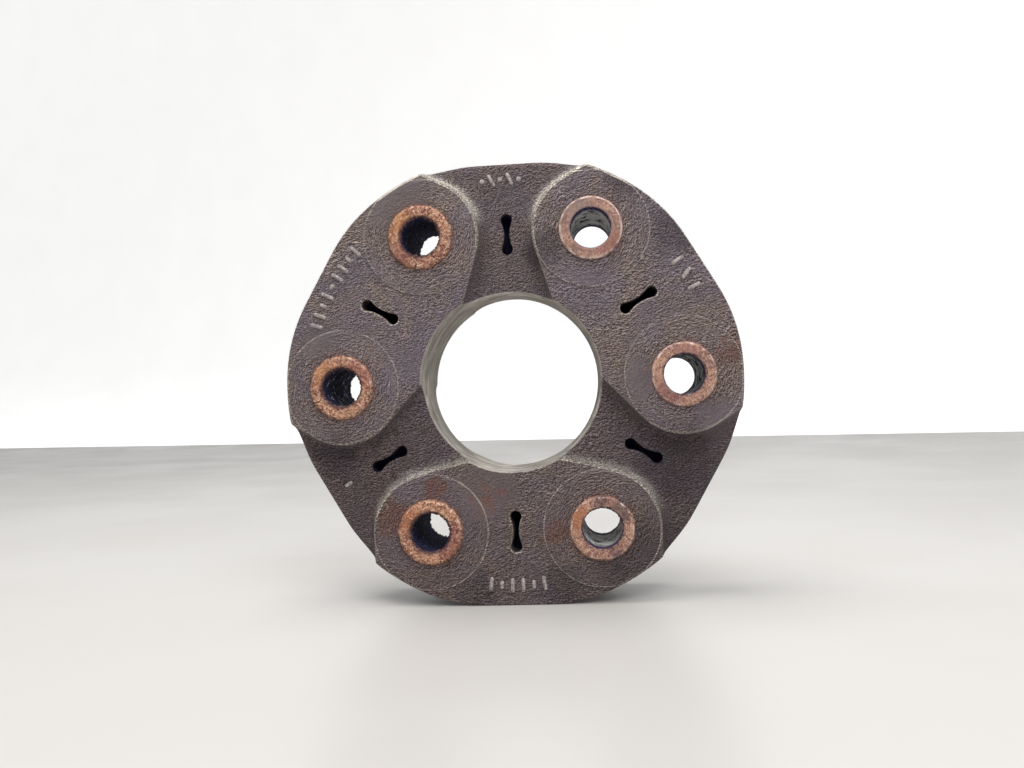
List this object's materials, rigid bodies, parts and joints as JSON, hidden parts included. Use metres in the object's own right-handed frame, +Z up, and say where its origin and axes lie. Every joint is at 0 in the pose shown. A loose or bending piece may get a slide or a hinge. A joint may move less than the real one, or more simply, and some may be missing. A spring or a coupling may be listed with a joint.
{
  "type": "flexible disc coupling",
  "caption": "Flexible rubber disc coupling for a propeller shaft, with steel bolt sleeves and moulded-in cord windings, used and rusty.",
  "frame": {"origin": "centre of the disc, on its axis and midway between its faces", "axes": "+Z up with the disc stood on a flat of its rim, +Y along the disc's axis from the front face to the rear one, +X to the right seen from the front"},
  "size_m": [0.1406, 0.033, 0.1366],
  "materials": {
    "rubber": "aged, dusty, fine wrinkled grain",
    "rusted_steel": "rusted all over",
    "plated_steel": "plated, moulded in",
    "cord": "wound polyester cord, soaked in rubber and moulded in"
  },
  "bodies": {
    "root": {"rubber_body": "rubber", "sleeve_1": "rusted_steel", "sleeve_2": "rusted_steel", "sleeve_3": "rusted_steel", "sleeve_4": "rusted_steel", "sleeve_5": "rusted_steel", "sleeve_6": "rusted_steel", "front_collar_1": "plated_steel", "front_collar_2": "plated_steel", "front_collar_3": "plated_steel", "front_collar_4": "plated_steel", "front_collar_5": "plated_steel", "front_collar_6": "plated_steel", "rear_collar_1": "plated_steel", "rear_collar_2": "plated_steel", "rear_collar_3": "plated_steel", "rear_collar_4": "plated_steel", "rear_collar_5": "plated_steel", "rear_collar_6": "plated_steel", "middle_winding_1": "cord", "middle_winding_2": "cord", "middle_winding_3": "cord", "front_winding_1": "cord", "front_winding_2": "cord", "front_winding_3": "cord", "rear_winding_1": "cord", "rear_winding_2": "cord", "rear_winding_3": "cord"}
  },
  "joints": []
}
